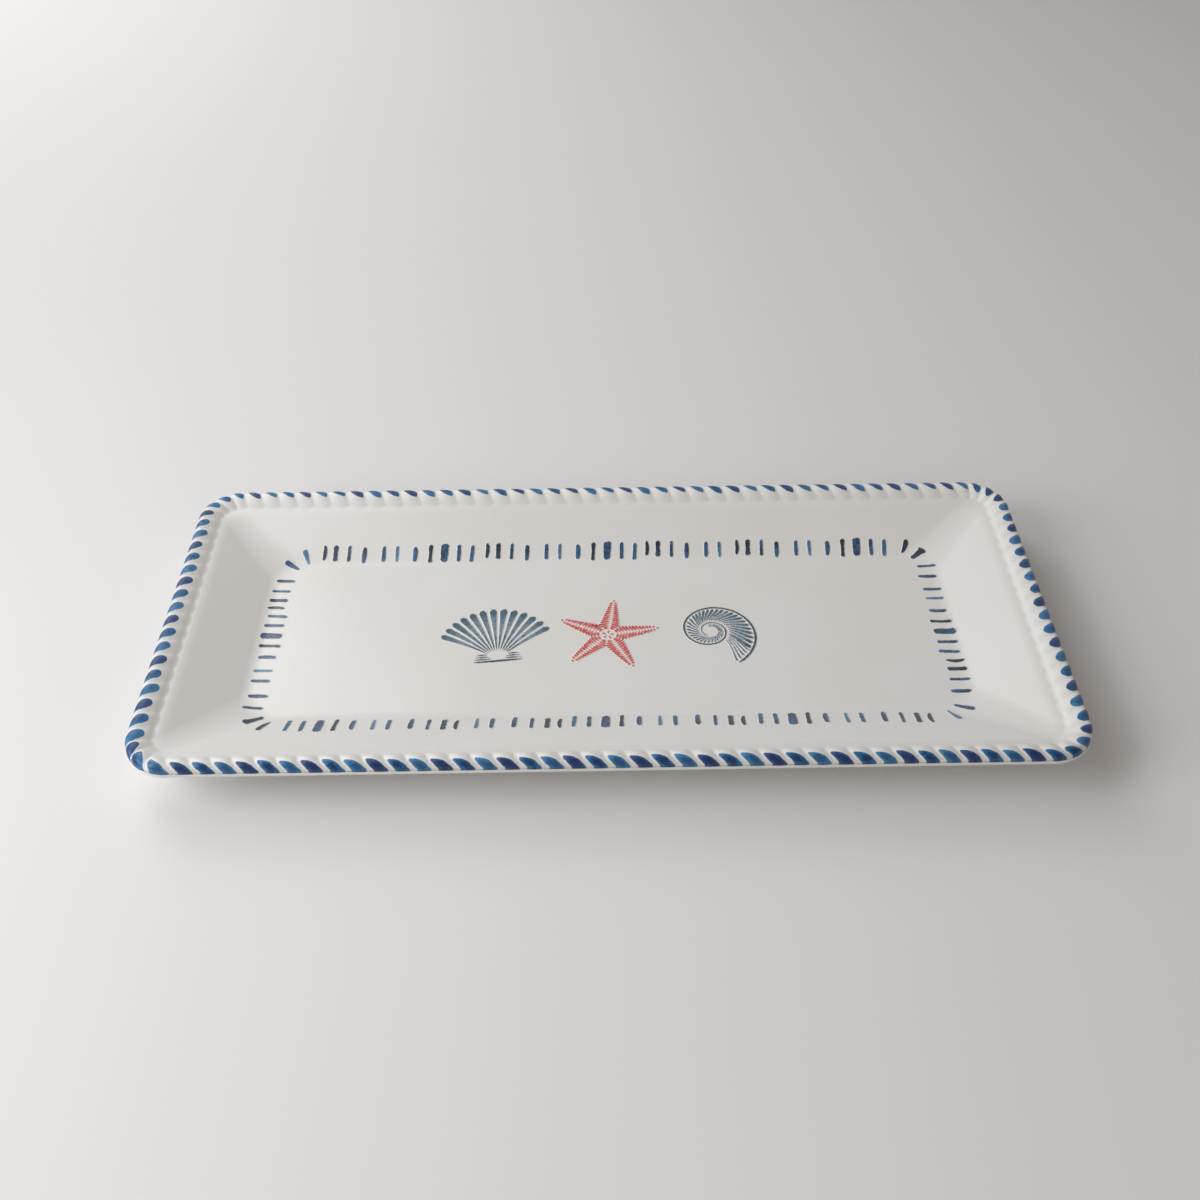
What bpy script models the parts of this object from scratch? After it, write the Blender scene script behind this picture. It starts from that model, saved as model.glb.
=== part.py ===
"""Rectangular serving platter with a rope-moulded rim, in metres, +Z up.

The origin lies on the table under the platter's centre, and +X runs along its length.
The pieces are those that a potter joins before the firing: the pressed dish, the
twisted coil laid on its rim and the foot ring under its floor.
"""

import math

import bmesh
import bpy

# Plan of the dish
LENGTH = 0.356
WIDTH = 0.165
LIP_RADIUS = 0.018  # corner of the lip, seen from above
WELL_RADIUS = 0.016  # corner of the floor, seen from above

# Section of the dish
SLAB_THICKNESS = 0.005
WELL_DEPTH = 0.0106  # from the rim's land down to the floor
LAND_WIDTH = 0.0006  # flat strip between the rope and the wall
WALL_ANGLE = math.radians(23.3)
SHOULDER_RADIUS = 0.008  # where the land turns down into the wall
COVE_RADIUS = 0.022  # where the wall runs out into the floor
LIP_THICKNESS = 0.003  # from the land down to the lip's underside
LIP_ROUND = 0.0015  # lower edge of the lip
LIP_EDGE = 0.0003  # small bevel on top of the lip

# Twisted coil on the rim
ROPE_WIDTH = 0.0094
ROPE_RISE = 0.0026  # middle of the coil above the land
ROPE_FULLNESS = 2.3  # power of the section's curve: 2 is a plain ellipse, more is squarer
ROPE_TILT = 0.45  # share by which the outer half stands higher and the inner half lower
ROPE_SPACING = 0.00785  # wanted distance from strand to strand along the lip
ROPE_PLIES = 3  # the strands come round in threes, so their number is a multiple
ROPE_LEAN = 0.60  # spacings that a strand moves on while it crosses the coil
ROPE_BEND = 1.5  # power by which that lean gathers towards the outer foot
ROPE_GROOVE = 0.0008  # depth between two strands, on the coil's crest
INNER_GROOVE = 0.6  # share of that depth at the coil's inner foot
OUTER_GROOVE = 0.25  # and at its outer foot
ROPE_SHIFT = 0.0004  # first strand's start, from the middle of the front side
SEAT_DEPTH = 0.001  # the coil is let into the rim by this much
LIP_MARGIN = 0.0004  # the lip stands out past the coil by this much

# Foot ring
FOOT_HEIGHT = 0.003
FOOT_WIDTH = 0.0045
FOOT_MARGIN = 0.0025  # flat underside left outside the ring
FOOT_BEVEL = 0.0005

JOIN_GAP = 0.0003  # clearance wherever two pieces meet

# Smoothness
CORNER_STEPS = 8
COVE_STEPS = 5
SHOULDER_STEPS = 4
ROUND_STEPS = 3
ARCH_STEPS = 8  # facets over the coil, from its inner foot to its outer foot
RIBS_PER_STRAND = 4

# Heights that follow from the sizes above
BASE_Z = FOOT_HEIGHT + JOIN_GAP
FLOOR_Z = BASE_Z + SLAB_THICKNESS
LAND_Z = FLOOR_Z + WELL_DEPTH
SEAT_Z = LAND_Z - SEAT_DEPTH
LIP_UNDERSIDE_Z = LAND_Z - LIP_THICKNESS

# Distances inwards from the lip that follow from them
ROPE_INSET = LIP_MARGIN + ROPE_WIDTH / 2
SEAT_INSET = LIP_MARGIN + ROPE_WIDTH + JOIN_GAP
LAND_INSET = LIP_MARGIN + ROPE_WIDTH + LAND_WIDTH
SLOPE_RISE = WELL_DEPTH - (SHOULDER_RADIUS + COVE_RADIUS) * (1 - math.cos(WALL_ANGLE))
SLOPE_RUN = SLOPE_RISE / math.tan(WALL_ANGLE)
FLOOR_INSET = LAND_INSET + SLOPE_RUN + (SHOULDER_RADIUS + COVE_RADIUS) * math.sin(WALL_ANGLE)


def clear_scene():
    for obj in list(bpy.data.objects):
        bpy.data.objects.remove(obj, do_unlink=True)


def ceramic(name, colour, roughness):
    material = bpy.data.materials.new(name)
    material.use_nodes = True
    shader = material.node_tree.nodes["Principled BSDF"]
    shader.inputs["Base Color"].default_value = (*colour, 1)
    shader.inputs["Roughness"].default_value = roughness
    shader.inputs["Metallic"].default_value = 0
    return material


def steps(first, last, count):
    return [first + (last - first) * i / count for i in range(count + 1)]


def corner_radius(inset):
    """Corners run parallel to the lip as far as the land, then open out towards the floor."""
    if inset <= LAND_INSET:
        return LIP_RADIUS - inset
    share = min((inset - LAND_INSET) / (FLOOR_INSET - LAND_INSET), 1)
    land_radius = LIP_RADIUS - LAND_INSET
    return land_radius + (WELL_RADIUS - land_radius) * share


def between(share, first, middle, last):
    """Value of the curve through these three, at a share from 0 to 1."""
    return first + (last - first) * share + (middle - (first + last) / 2) * 4 * share * (1 - share)


def outline(inset):
    """Rounded rectangle this far inside the lip, as (x, y) points counter-clockwise."""
    radius = corner_radius(inset)
    centre_x = LENGTH / 2 - inset - radius
    centre_y = WIDTH / 2 - inset - radius
    points = []
    for quarter, (sx, sy) in enumerate(((1, 1), (-1, 1), (-1, -1), (1, -1))):
        for turn in steps(0, math.pi / 2, CORNER_STEPS):
            angle = quarter * math.pi / 2 + turn
            x = sx * centre_x + radius * math.cos(angle)
            y = sy * centre_y + radius * math.sin(angle)
            points.append((x, y))
    return points


def lip_length():
    straights = 2 * (LENGTH - 2 * LIP_RADIUS) + 2 * (WIDTH - 2 * LIP_RADIUS)
    return straights + 2 * math.pi * LIP_RADIUS


def lip_place(distance):
    """Point on the lip and its outward direction, from the front's middle counter-clockwise."""
    half_x = LENGTH / 2 - LIP_RADIUS
    half_y = WIDTH / 2 - LIP_RADIUS
    quarter = math.pi / 2 * LIP_RADIUS
    left = distance % lip_length()
    # Each side in turn: its corner centre, the direction it faces and its straight length.
    sides = (
        (half_x, -half_y, -90, half_x),
        (half_x, half_y, 0, 2 * half_y),
        (-half_x, half_y, 90, 2 * half_x),
        (-half_x, -half_y, 180, 2 * half_y),
        (half_x, -half_y, 270, 2 * half_x),
    )
    for corner_x, corner_y, facing, straight in sides:
        angle = math.radians(facing)
        if left <= straight:
            back = straight - left
            out = (math.cos(angle), math.sin(angle))
            x = corner_x + LIP_RADIUS * out[0] + back * out[1]
            y = corner_y + LIP_RADIUS * out[1] - back * out[0]
            return (x, y), out
        left -= straight
        if left <= quarter:
            angle += left / LIP_RADIUS
            out = (math.cos(angle), math.sin(angle))
            return (corner_x + LIP_RADIUS * out[0], corner_y + LIP_RADIUS * out[1]), out
        left -= quarter
    raise ValueError("distance lies past the lip's end")


def loft(name, rings, closed):
    """Joins rings of equally many points. An open row of rings gets a cap at each end."""
    mesh = bpy.data.meshes.new(name)
    shape = bmesh.new()
    rows = [[shape.verts.new(point) for point in ring] for ring in rings]
    pairs = list(zip(rows, rows[1:]))
    if closed:
        pairs.append((rows[-1], rows[0]))
    else:
        shape.faces.new(rows[0])
        shape.faces.new(reversed(rows[-1]))
    for row, after in pairs:
        for i in range(len(row)):
            shape.faces.new((row[i - 1], row[i], after[i], after[i - 1]))
    bmesh.ops.recalc_face_normals(shape, faces=shape.faces)
    shape.to_mesh(mesh)
    shape.free()
    return bpy.data.objects.new(name, mesh)


def slab_side(depth):
    """Floor to land as (inset, z) points, this deep below the slab's upper face."""
    points = []
    for angle in steps(0, WALL_ANGLE, COVE_STEPS):
        radius = COVE_RADIUS + depth
        z = FLOOR_Z + COVE_RADIUS - radius * math.cos(angle)
        points.append((FLOOR_INSET - radius * math.sin(angle), z))
    for angle in steps(WALL_ANGLE, 0, SHOULDER_STEPS):
        radius = SHOULDER_RADIUS - depth
        z = LAND_Z - SHOULDER_RADIUS + radius * math.cos(angle)
        points.append((LAND_INSET + radius * math.sin(angle), z))
    return points


def rim_side():
    """Land to underside round the lip as (inset, z) points, by way of the coil's seat."""
    points = [
        (SEAT_INSET, LAND_Z),
        (SEAT_INSET, SEAT_Z),
        (LIP_EDGE, SEAT_Z),
        (0, SEAT_Z - LIP_EDGE),
    ]
    for angle in steps(0, math.pi / 2, ROUND_STEPS):
        z = LIP_UNDERSIDE_Z + LIP_ROUND * (1 - math.sin(angle))
        points.append((LIP_ROUND * (1 - math.cos(angle)), z))
    return points


def platter_body():
    section = slab_side(0) + rim_side() + slab_side(SLAB_THICKNESS)[::-1]
    rings = [[(x, y, z) for x, y in outline(inset)] for inset, z in section]
    return loft("platter_body", rings, closed=False)


def arch_point(turn):
    """Place on the coil's arch, as shares of its half width inwards and of its rise."""
    angle = math.pi * turn
    power = 2 / ROPE_FULLNESS
    side = math.copysign(abs(math.cos(angle)) ** power, math.cos(angle))
    height = abs(math.sin(angle)) ** power
    return side, height * (1 - ROPE_TILT * side)


def groove_share(turn):
    """Share of the groove's depth: full past the crest, less at the coil's feet."""
    return between(turn, INNER_GROOVE, 1, OUTER_GROOVE)


def rope_rib(start, groove):
    """Section of the coil that leans with its strand, from inner foot to outer foot."""
    arch = []
    for turn in steps(0, 1, ARCH_STEPS):
        (x, y), out = lip_place(start + ROPE_LEAN * strand_spacing() * turn**ROPE_BEND)
        side, height = arch_point(turn)
        depth = groove * groove_share(turn)
        inset = ROPE_INSET + (ROPE_WIDTH / 2 - depth) * side
        z = LAND_Z + (ROPE_RISE - depth) * height
        arch.append((x - inset * out[0], y - inset * out[1], z))
    foot_z = SEAT_Z + JOIN_GAP
    inner_foot = (*arch[0][:2], foot_z)
    outer_foot = (*arch[-1][:2], foot_z)
    return [inner_foot, *arch, outer_foot]


def strand_count():
    return ROPE_PLIES * round(lip_length() / (ROPE_PLIES * ROPE_SPACING))


def strand_spacing():
    return lip_length() / strand_count()


def rope_rim():
    ribs = []
    for rib in range(strand_count() * RIBS_PER_STRAND):
        across = rib % RIBS_PER_STRAND / RIBS_PER_STRAND
        groove = ROPE_GROOVE * (1 - math.sin(math.pi * across))
        # A strand's crest, not its groove, stands at the shift.
        start = ROPE_SHIFT + (rib / RIBS_PER_STRAND - 0.5) * strand_spacing()
        ribs.append(rope_rib(start, groove))
    return loft("rope_rim", ribs, closed=True)


def foot_ring():
    curve = bpy.data.curves.new("foot_ring", "CURVE")
    curve.dimensions = "2D"
    curve.fill_mode = "BOTH"
    curve.extrude = FOOT_HEIGHT / 2 - FOOT_BEVEL
    curve.bevel_depth = FOOT_BEVEL
    curve.bevel_resolution = 1
    curve.offset = -FOOT_BEVEL
    outer = FLOOR_INSET + FOOT_MARGIN
    for inset in (outer, outer + FOOT_WIDTH):
        points = outline(inset)
        spline = curve.splines.new("POLY")
        spline.points.add(len(points) - 1)
        for place, (x, y) in zip(spline.points, points):
            place.co = (x, y, 0, 1)
        spline.use_cyclic_u = True
    ring = bpy.data.objects.new("foot_ring", curve)
    ring.location.z = FOOT_HEIGHT / 2
    return ring


def main():
    clear_scene()
    collection = bpy.data.collections.new("rectangular_platter")
    bpy.context.scene.collection.children.link(collection)
    centre = bpy.data.objects.new("platter_centre", None)
    collection.objects.link(centre)
    pieces = (
        (platter_body(), ceramic("white_glaze", (0.80, 0.79, 0.75), 0.22)),
        (rope_rim(), ceramic("painted_glaze", (0.10, 0.18, 0.32), 0.22)),
        (foot_ring(), ceramic("bare_clay", (0.74, 0.69, 0.60), 0.85)),
    )
    for piece, material in pieces:
        piece.data.materials.append(material)
        piece.parent = centre
        collection.objects.link(piece)


main()
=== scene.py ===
"""Looks of the rectangular platter with a rope-moulded rim.

Lengths are in metres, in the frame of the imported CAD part: +X along the platter, +Y to
its back and +Z up, with the origin on the table under its centre.
"""

import math
import random

import bmesh
import bpy
from mathutils import Matrix, Vector
from mathutils.bvhtree import BVHTree


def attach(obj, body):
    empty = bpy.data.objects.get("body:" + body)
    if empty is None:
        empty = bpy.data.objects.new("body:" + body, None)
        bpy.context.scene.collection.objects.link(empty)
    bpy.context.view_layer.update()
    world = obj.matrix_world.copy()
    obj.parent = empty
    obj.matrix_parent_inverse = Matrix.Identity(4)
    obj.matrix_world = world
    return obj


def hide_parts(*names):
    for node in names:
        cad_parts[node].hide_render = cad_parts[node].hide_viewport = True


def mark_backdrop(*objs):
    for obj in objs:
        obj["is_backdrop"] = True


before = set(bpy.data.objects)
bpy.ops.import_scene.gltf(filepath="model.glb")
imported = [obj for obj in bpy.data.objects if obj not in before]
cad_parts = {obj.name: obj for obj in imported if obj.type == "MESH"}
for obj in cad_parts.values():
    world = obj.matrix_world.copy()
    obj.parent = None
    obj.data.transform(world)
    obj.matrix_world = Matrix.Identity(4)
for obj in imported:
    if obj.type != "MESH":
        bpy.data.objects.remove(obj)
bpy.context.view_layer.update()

MM = 0.001

# Dish and foot ring, with the sizes of the CAD source
LENGTH = 0.356
WIDTH = 0.165
LIP_RADIUS = 0.018
WELL_RADIUS = 0.016
WALL_ANGLE = math.radians(23.3)
SHOULDER_RADIUS = 0.008
COVE_RADIUS = 0.022
SLAB_THICKNESS = 0.005
WELL_DEPTH = 0.0106
LIP_THICKNESS = 0.003
LIP_ROUND = 0.0015
LIP_EDGE = 0.0003
LIP_MARGIN = 0.0004
LAND_WIDTH = 0.0006
SEAT_DEPTH = 0.001
FOOT_HEIGHT = 0.003
FOOT_WIDTH = 0.0045
FOOT_MARGIN = 0.0025
FOOT_BEVEL = 0.0005
JOIN_GAP = 0.0003

# Twisted coil, with the sizes of the CAD source
ROPE_WIDTH = 0.0094
ROPE_RISE = 0.0026
ROPE_STRANDS = 129
ROPE_PLIES = 3
ROPE_LEAN = 0.60
ROPE_BEND = 1.5
ROPE_SHIFT = 0.0004
ROPE_FULLNESS = 2.3
ROPE_TILT = 0.45
OUTER_GROOVE = 0.25

# Heights, and distances inwards from the lip, that follow from those sizes
BASE_Z = FOOT_HEIGHT + JOIN_GAP
FLOOR_Z = BASE_Z + SLAB_THICKNESS
LAND_Z = FLOOR_Z + WELL_DEPTH
SEAT_Z = LAND_Z - SEAT_DEPTH
ROPE_INSET = LIP_MARGIN + ROPE_WIDTH / 2
LAND_INSET = LIP_MARGIN + ROPE_WIDTH + LAND_WIDTH
WALL_RUN = WELL_DEPTH / math.tan(WALL_ANGLE)
WALL_FOOT = LAND_INSET + SHOULDER_RADIUS * math.tan(WALL_ANGLE / 2) + WALL_RUN
FLOOR_INSET = WALL_FOOT + COVE_RADIUS * math.tan(WALL_ANGLE / 2)

# Glazed face of the dish, softer than the pressed one
GLAZE_COVE = 0.013
GLAZE_TOP = 0.0087  # inset where the face runs in under the coil
GLAZE_RISE = 0.0001  # how far above the land it lies there
GLAZE_LEVEL = 0.05  # its slope there
GLAZE_SHOULDER = 0.0145  # inset where it starts to level out
GLAZE_EDGE = 0.0001  # its short last step, under the coil
FRONT_RISE = 0.0007  # that rise at the front, where it runs straight up
FLAT_MARGIN = 0.01  # how far inside its edge the floor becomes one face
FOOT_SINK = 0.00005  # how far the foot ring is let into the underside

# Glaze on the coil
ROPE_GROOVE = 0.0007  # depth that is left between two strands on the crest
ROPE_INNER = 0.0044  # half width of its inner side
INNER_TILT = 0.6  # tilt of that side
INNER_GROOVE = 0.25  # share of a groove's depth that is left at the inner foot
BACK_GROOVE = 0.25  # more at the back, and less at the front
END_GROOVE = 0.2  # more at both ends
GROOVE_POWER = 4  # how suddenly a groove deepens towards the crest
FRONT_POWER = 5  # more at the front
FRONT_FILL = 0.9  # how far the front's inner flank is levelled with the wall
FILL_SPAN = 0.12  # half turns inwards from the crest until it is
FILLET_TOE = 0.0114  # inset where the curve of glaze up to the coil starts
FILLET_TURN = 0.2  # where it ends on the coil's arch, in half turns
TOE_SCALLOP = 0.0011  # how far it runs in between the strands
FILLET_SINK = 0.00002  # how far its toe lies below the wall's face
COIL_LIFT = 0.00003  # how far the coil stays above that face
COIL_OVERLAP = 0.0004  # how far outside the face's top it starts to
ROPE_SINK = 0.0001  # how far the coil's feet reach below its seat

# Unevenness of the coil: strand number, counted from the front's middle, and its slip in spacings
STRAND_SLIPS = ((0, -0.1), (12, 0.2), (19, 0.0), (26, -0.1), (38, 0.1), (46, -0.3), (80, 0.3))
STRAND_SLIPS += ((90, -0.2), (104, -0.2), (111, -0.1), (121, -0.2), (129, -0.1))
CORNER_SLACK = 0.65  # share of the strands' lean that is lost in the front left corner

# Reach of the brush over the coil from its outer foot, in degrees
REACH = 82
END_REACH = 23  # more at both ends
LEFT_REACH = 7  # more at the left end, and less at the right one
BACK_REACH = 10  # more at the back, and less at the front
LEFT_FALL = 8  # less at the back of the left end, and more at its front
BACK_GAIN = 7  # more in the middle of the back, twice that at its right and none at its left
REACH_SPREAD = (0.93, 1.07)  # share of it, from stroke to stroke

# Shape of the brush strokes on the coil, with lengths in strand spacings
STROKE_START = 0.05  # from a strand's groove
STROKE_BELLY = 0.68  # width
END_BELLY = 0.05  # wider at both ends
LEFT_BELLY = 0.02  # wider at the left end, and narrower at the right one
SLACK_BELLY = 0.2  # wider in the front left corner
FRONT_SLANT = 0.15  # lean across the strand at the front
LEFT_TIP = 0.55  # place of the tip at the left end, from 0 at the groove to 1
RIGHT_TIP = 0.4  # the same at the right end
TIP_POWER = 6.0  # how suddenly a stroke closes at its tip
TIP_DRAW = 0.12  # how far the tip is drawn away from the groove
DRAW_POWER = 8.0  # how suddenly
STROKE_WOBBLE = 0.12
STROKE_EDGE = (-0.03, 0.04)  # where colour starts and is full

# Colour of those strokes
STROKE_CORE = (0.4, 0.35)  # thickest colour, across the strand and up the stroke
CORE_SIZE = (0.36, 0.75)
WASH_EDGE = (0.25, 1.0)  # core sizes away where colour starts to thin and is thinnest
FIRST_PLY = 2.0
PLY_SLIPS = (21, 42, 86)  # strands at the corners where the painter went back to the ply before
PAINT_SPECULAR = 0.3
PAINT_ROUGHNESS = (0.30, 0.40)

# Dashes round the well and their ink
DASH_RING_SIZE = (0.2693, 0.0971)
DASH_RING_RADIUS = 0.009
DASH_CENTRE = (0.0004, -0.0013)
DASH_START = -0.1223  # first dash of the back row, from that row's middle
DASH_LAG = 0.0008  # of the front half of the ring
DASH_MIDDLE = 0.003  # middle of a dash, outwards from the ring that spaces them
DASH_SWELL = 0.3  # how much wider dashes are in the corners
DASH_FLARE = 0.6  # how much they grow outwards there
DASH_STRETCH = 0.07  # how much longer they are on the sides, and twice that at the front
DASH_ROUND = 0.35  # radius of their ends, in widths
DASH_WOBBLE = 0.05  # sideways, in millimetres
DASH_SPREAD = (0.98, 1.14)  # of their widths
DASH_SEED = 7
INK_LIFT = 0.00003
INK_ROOT = 0.00008
INK_BORDER = 0.00025  # bare glaze round a stroke, for its soft edge
INK_EDGE = 0.00013  # half width of that soft edge
INK_RAGGED = 0.0001
END_WIDTH = 0.45  # share of its width that a stroke keeps at its very end
ABOVE = 0.1  # height above the table from where strokes are laid down

# Motifs of the print: centre and turn
SCALLOP_AT = (-0.0455, 0.0), math.radians(6)
STARFISH_AT = (0.0005, -0.0015), math.radians(-8)
SHELL_AT = (0.0425, 0.0), 0.0
PRINT_SEED = 11

# Smoothness
CORNER_STEPS = 16
COVE_STEPS = 14
SHOULDER_STEPS = 8
ROUND_STEPS = 6
ARCH_STEPS = 22
FILLET_STEPS = 6
RIBS_PER_STRAND = 12
DASH_STEPS = 12

# Colours, linear
GLAZE_WHITE = (0.80, 0.793, 0.770)
THIN_GLAZE = (0.985, 0.98, 0.965)  # its share where it ran thin
GLAZE_ROUGHNESS = (0.18, 0.26)
CLAY = (0.72, 0.66, 0.56)
DARK_CLAY = 0.86
CLAY_ROUGHNESS = (0.78, 0.92)
FLOOR_WHITE = (0.845, 0.84, 0.835)
DARK_FLOOR = 0.985
FLOOR_ROUGHNESS = 0.9
ROPE_DEEP = ((0.014, 0.036, 0.120), (0.012, 0.042, 0.130), (0.025, 0.095, 0.23))  # ply by ply
ROPE_PALE = ((0.030, 0.085, 0.23), (0.025, 0.165, 0.37), (0.050, 0.21, 0.41))
INK_BLUES = (
    (0.0, (0.13, 0.29, 0.43)),
    (0.45, (0.035, 0.12, 0.26)),
    (0.75, (0.009, 0.032, 0.080)),
    (1.0, (0.004, 0.010, 0.014)),
)
PRINT_BLUES = ((0.0, (0.30, 0.41, 0.48)), (0.5, (0.060, 0.125, 0.19)), (1.0, (0.014, 0.034, 0.06)))
PRINT_REDS = ((0.0, (0.80, 0.36, 0.32)), (0.5, (0.72, 0.075, 0.065)), (1.0, (0.42, 0.03, 0.035)))

# Light
COOL_LIGHT = (0.97, 0.985, 1.0)
WARM_LIGHT = (1.0, 0.92, 0.86)
ROOM_LIGHT = 0.228
BACKDROP_WHITE = (0.95, 0.95, 0.95)
FRONT_BACKDROP = 0.25  # its strength towards the front of the room
BACKDROP_FADE = (-0.5, 0.3)  # where it changes, from -1 at the front to 1 at the back

# Lamps: name, place, point that it faces, size, power in watts and colour
LAMPS = (
    ("skylight", (-0.6, 0.5, 0.9), (-0.6, 0.5, 0), (0.8, 0.8), 2.9, COOL_LIGHT),
    # This one hangs over the table behind the platter and lights mainly that table.
    ("backdrop_light", (-0.7, 0.95, 0.7), (-0.7, 0.95, 0), (0.6, 0.6), 2.4, COOL_LIGHT),
    ("back_window", (-0.9, 1.2, 0.9), (-0.2, 0.2, 0), (0.8, 0.8), 3.8, COOL_LIGHT),
    ("side_window", (-0.7, -0.3, 0.5), (0, -0.3, 0.5), (0.6, 0.6), 6.2, COOL_LIGHT),
    ("front_fill", (0.2, -1.2, 0.8), (0.2, 0, 0.8), (1.4, 1.0), 1.6, WARM_LIGHT),
)

# Table
TABLE_HALF = 4
TABLE_CELLS = 8

# Camera, as fitted to the photograph's 1200 by 1200 frame
FRAME_PIXELS = 1200
FOCAL_PIXELS = 1361.35
SENSOR = 36
EYE = (-0.00431, -0.40793, 0.36866 + LAND_Z)
PITCH = 0.7253
YAW = 0.0045
ROLL = -0.0120


# Shapes


def steps(first, last, count):
    return [first + (last - first) * i / count for i in range(count + 1)]


def between(share, first, middle, last):
    """Value of the curve through these three, at a share from 0 to 1."""
    return first + (last - first) * share + (middle - (first + last) / 2) * 4 * share * (1 - share)


def corner_radius(inset):
    """Corners run parallel to the lip as far as the land, then open out towards the floor."""
    if inset <= LAND_INSET:
        return LIP_RADIUS - inset
    share = min((inset - LAND_INSET) / (FLOOR_INSET - LAND_INSET), 1)
    land_radius = LIP_RADIUS - LAND_INSET
    return land_radius + (WELL_RADIUS - land_radius) * share


def corner_turns():
    """Corner, as signs of x and y, and outward direction of each point of an outline."""
    turns = []
    for quarter, corner in enumerate(((1, 1), (-1, 1), (-1, -1), (1, -1))):
        for turn in steps(0, math.pi / 2, CORNER_STEPS):
            angle = quarter * math.pi / 2 + turn
            turns.append((corner, (math.cos(angle), math.sin(angle))))
    return turns


def outline(inset):
    """Rounded rectangle this far inside the lip, as (x, y) points counter-clockwise."""
    radius = corner_radius(inset)
    centre_x = LENGTH / 2 - inset - radius
    centre_y = WIDTH / 2 - inset - radius
    points = []
    for (sx, sy), (out_x, out_y) in corner_turns():
        points.append((sx * centre_x + radius * out_x, sy * centre_y + radius * out_y))
    return points


class Ring:
    """Rounded rectangle that can be walked, counter-clockwise from the front's middle."""

    def __init__(self, length, width, radius):
        x, y = length / 2 - radius, width / 2 - radius
        self.radius = radius
        self.around = 4 * x + 4 * y + 2 * math.pi * radius
        # Each side in turn: its corner centre, the direction it faces and its straight length.
        self.sides = (
            (x, -y, -90, x),
            (x, y, 0, 2 * y),
            (-x, y, 90, 2 * x),
            (-x, -y, 180, 2 * y),
            (x, -y, 270, 2 * x),
        )

    def place(self, distance):
        """Point on the ring and its outward direction."""
        radius = self.radius
        quarter = math.pi / 2 * radius
        left = distance % self.around
        for corner_x, corner_y, facing, straight in self.sides:
            angle = math.radians(facing)
            back = max(straight - left, 0)
            left -= straight
            if 0 < left <= quarter:
                angle += left / radius
            if left <= quarter:
                out = (math.cos(angle), math.sin(angle))
                place_x = corner_x + radius * out[0] + back * out[1]
                place_y = corner_y + radius * out[1] - back * out[0]
                return (place_x, place_y), out
            left -= quarter
        raise ValueError("distance lies past the ring's end")


LIP = Ring(LENGTH, WIDTH, LIP_RADIUS)
DASH_RING = Ring(*DASH_RING_SIZE, DASH_RING_RADIUS)
STRAND_SPACING = LIP.around / ROPE_STRANDS


def facing_front(out):
    """One on the front side, and less round its corners to none on the other sides."""
    return max(0, -out[1])


def new_object(name, shape, material):
    """Turns the bmesh into a smooth-shaded object of the scene."""
    mesh = bpy.data.meshes.new(name)
    bmesh.ops.recalc_face_normals(shape, faces=shape.faces)
    for face in shape.faces:
        face.smooth = True
    shape.to_mesh(mesh)
    shape.free()
    mesh.materials.append(material)
    obj = bpy.data.objects.new(name, mesh)
    bpy.context.scene.collection.objects.link(obj)
    return obj


def join_rows(shape, row, after):
    """Faces between two rings of equally many points."""
    for i in range(len(row)):
        shape.faces.new((row[i - 1], row[i], after[i], after[i - 1]))


def add_loft(shape, rings, closed):
    """Joins rings of equally many points. An open row of rings gets a cap at each end."""
    rows = [[shape.verts.new(point) for point in ring] for ring in rings]
    pairs = list(zip(rows, rows[1:]))
    if closed:
        pairs.append((rows[-1], rows[0]))
    else:
        shape.faces.new(rows[0])
        shape.faces.new(reversed(rows[-1]))
    for row, after in pairs:
        join_rows(shape, row, after)
    return rows


# Dish and foot


def glaze_slope():
    """Rise of the glazed wall for its run, below the shoulder where it levels out."""
    shoulder = GLAZE_SHOULDER - GLAZE_TOP
    rise = WELL_DEPTH + GLAZE_RISE - shoulder * GLAZE_LEVEL / 2
    return rise / (WALL_FOOT - GLAZE_SHOULDER + shoulder / 2)


def front_wall(inset):
    """Height of the front's glazed wall at this inset, run on over the flank of the coil."""
    slope = (WELL_DEPTH + FRONT_RISE) / (WALL_FOOT - GLAZE_TOP)
    return LAND_Z + FRONT_RISE - slope * (inset - GLAZE_TOP)


def glazed_wall(inset, out):
    """Height of the glazed wall from its shoulder up, on the side that faces this way: it levels
    out towards the coil, but at the front it runs straight on."""
    inwards = inset - GLAZE_TOP
    bend = (glaze_slope() - GLAZE_LEVEL) / (GLAZE_SHOULDER - GLAZE_TOP)
    shoulder = LAND_Z + GLAZE_RISE - GLAZE_LEVEL * inwards - bend / 2 * max(0, inwards) ** 2
    return shoulder + (front_wall(inset) - shoulder) * facing_front(out)


def glazed_side(out):
    """Floor to coil as (inset, z) points on the glazed face: a cove, a slope and a shoulder."""
    angle = math.atan(glaze_slope())
    cove_edge = WALL_FOOT + GLAZE_COVE * math.tan(angle / 2)
    points = []
    for turn in steps(0, angle, COVE_STEPS):
        z = FLOOR_Z + GLAZE_COVE * (1 - math.cos(turn))
        points.append((cove_edge - GLAZE_COVE * math.sin(turn), z))
    for inset in steps(GLAZE_SHOULDER, GLAZE_TOP + GLAZE_EDGE, SHOULDER_STEPS) + [GLAZE_TOP]:
        points.append((inset, glazed_wall(inset, out)))
    return points


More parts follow.
